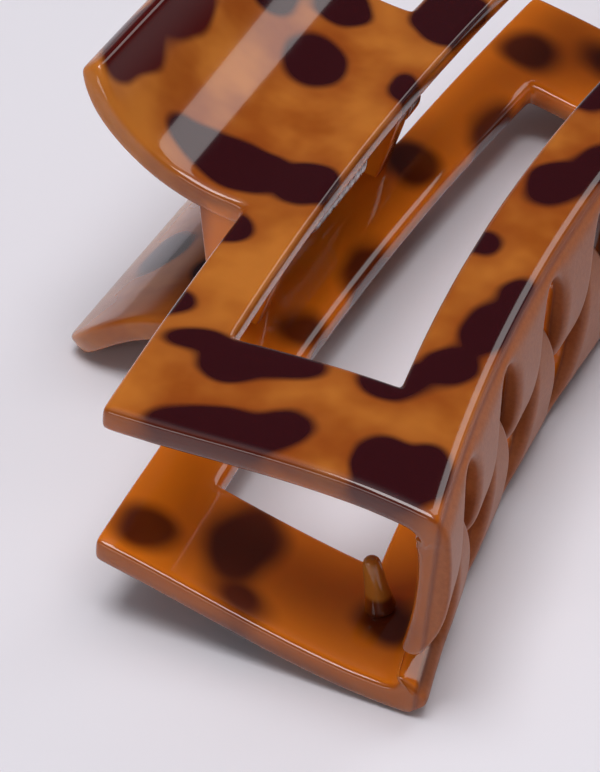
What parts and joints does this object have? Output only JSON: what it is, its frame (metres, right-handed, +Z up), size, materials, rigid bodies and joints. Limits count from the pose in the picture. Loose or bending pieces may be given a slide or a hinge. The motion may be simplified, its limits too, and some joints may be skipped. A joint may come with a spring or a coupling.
{
  "type": "hair claw clip",
  "caption": "Rectangular hair claw clip: two windowed, toothed jaws with flared finger tabs, sprung about a steel hinge pin.",
  "frame": {"origin": "centre of the footprint on the table, with the clip lying closed on its lower jaw", "axes": "+Y along the hinge and the jaws' length, +X towards the teeth, +Z up from the table to the upper jaw"},
  "size_m": [0.0534, 0.09, 0.034],
  "materials": {
    "tortoiseshell_plastic": "gloss outer skin, satin teeth",
    "pin_steel": "drawn wire",
    "spring_steel": "drawn wire"
  },
  "bodies": {
    "lower_jaw": {"lower_jaw": "tortoiseshell_plastic", "hinge_pin": "pin_steel", "torsion_spring": "spring_steel"},
    "upper_jaw": {"upper_jaw": "tortoiseshell_plastic"}
  },
  "joints": [
    {"name": "jaw_hinge", "type": "hinge", "parent": "lower_jaw", "child": "upper_jaw", "pos_m": [-0.00785, 0, 0.01521], "axis": [0, -1, 0], "range_deg": [0, 76], "stiffness_Nm_per_rad": 0.2, "springref_deg": -42.97, "deforming": ["torsion_spring"]}
  ]
}
